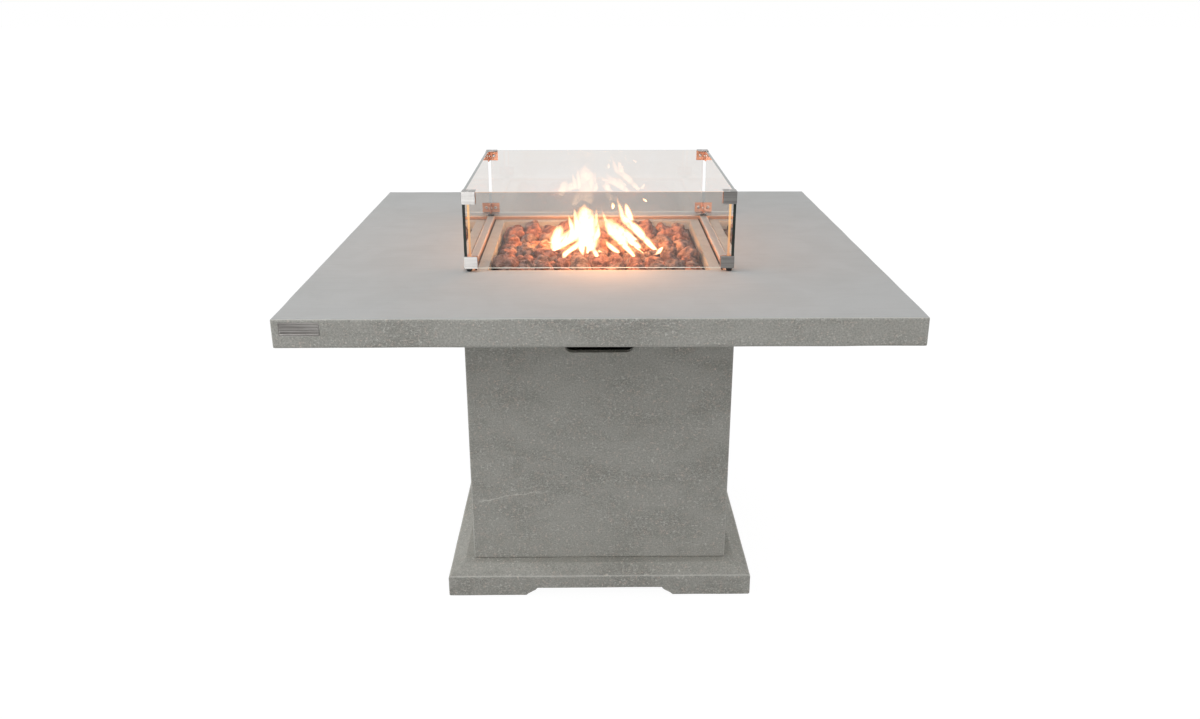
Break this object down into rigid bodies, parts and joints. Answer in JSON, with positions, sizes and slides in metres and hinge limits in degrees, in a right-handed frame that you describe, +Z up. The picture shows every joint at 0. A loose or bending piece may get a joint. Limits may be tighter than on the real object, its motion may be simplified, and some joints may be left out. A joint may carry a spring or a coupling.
{
  "type": "dining fire pit table",
  "caption": "Square cast-concrete dining table on a pedestal and plinth, with a gas burner under lava stones, a loose glass wind guard and a tilt-out access door.",
  "frame": {"origin": "on the floor under the middle of the plinth", "axes": "+Z up, -Y towards the access door, +X towards the side with the controls"},
  "size_m": [1.2, 1.2, 0.919],
  "materials": {
    "concrete": "matte cast concrete, fine mottling and pits",
    "plate_metal": "satin",
    "zinc_steel": "zinc plated",
    "ferrite": "matte",
    "pan_coat": "matte heat-proof coat",
    "stainless": "brushed, heat tinted",
    "brass": "as machined",
    "black_plastic": "satin moulded",
    "porcelain": "glazed",
    "lead_rubber": "matte",
    "lava": "rough, porous",
    "glass": "clear tempered, polished edges",
    "clip_steel": "brushed",
    "rubber": "matte"
  },
  "bodies": {
    "table": {"tabletop": "concrete", "pedestal_shell": "concrete", "plinth": "concrete", "edge_plate": "plate_metal", "tank_tray": "zinc_steel", "top_brackets": "zinc_steel", "top_bolts": "zinc_steel", "base_brackets": "zinc_steel", "base_bolts": "zinc_steel", "door_studs": "zinc_steel", "igniter_nut": "zinc_steel", "panel_screws": "zinc_steel", "door_magnets": "ferrite", "burner_pan": "pan_coat", "burner_ring": "stainless", "control_panel": "stainless", "gas_pipe": "stainless", "electrode_bracket": "stainless", "burner_nut": "brass", "air_mixer": "brass", "gas_valve": "brass", "valve_inlet": "brass", "thermocouple": "brass", "thermocouple_lead": "brass", "igniter_housing": "black_plastic", "spark_electrode": "porcelain", "igniter_lead": "lead_rubber", "lava_bed": "lava", "lava_rocks": "lava"},
    "wind_guard": {"glass_front": "glass", "glass_back": "glass", "glass_left": "glass", "glass_right": "glass", "clip_bottom_front_left": "clip_steel", "clip_bottom_front_right": "clip_steel", "clip_bottom_back_left": "clip_steel", "clip_bottom_back_right": "clip_steel", "clip_top_front_left": "clip_steel", "clip_top_front_right": "clip_steel", "clip_top_back_left": "clip_steel", "clip_top_back_right": "clip_steel", "bracket_bottom_front_left": "clip_steel", "bracket_bottom_front_right": "clip_steel", "bracket_bottom_back_left": "clip_steel", "bracket_bottom_back_right": "clip_steel", "bracket_top_front_left": "clip_steel", "bracket_top_front_right": "clip_steel", "bracket_top_back_left": "clip_steel", "bracket_top_back_right": "clip_steel", "clip_screws": "clip_steel", "guard_feet": "rubber"},
    "door": {"access_door": "concrete", "strike_plates": "zinc_steel"},
    "valve_plunger": {"valve_stem": "stainless"},
    "knob": {"control_knob": "black_plastic"},
    "igniter": {"igniter_button": "black_plastic"}
  },
  "joints": [
    {"name": "guard_lift", "type": "slide", "parent": "table", "child": "wind_guard", "axis": [0, 0, 1], "range_m": [0, 0.25]},
    {"name": "door_tilt", "type": "hinge", "parent": "table", "child": "door", "pos_m": [0, -0.286, 0.0713], "axis": [1, 0, 0], "range_deg": [0, 30]},
    {"name": "knob_push", "type": "slide", "parent": "table", "child": "valve_plunger", "axis": [-1, 0, 0], "range_m": [0, 0.004], "stiffness_N_per_m": 1500, "springref_m": -0.003},
    {"name": "knob_turn", "type": "hinge", "parent": "valve_plunger", "child": "knob", "pos_m": [0.31, -0.04, 0.545], "axis": [1, 0, 0], "range_deg": [0, 180]},
    {"name": "igniter_press", "type": "slide", "parent": "table", "child": "igniter", "axis": [-1, 0, 0], "range_m": [0, 0.005], "stiffness_N_per_m": 600, "springref_m": -0.003}
  ]
}
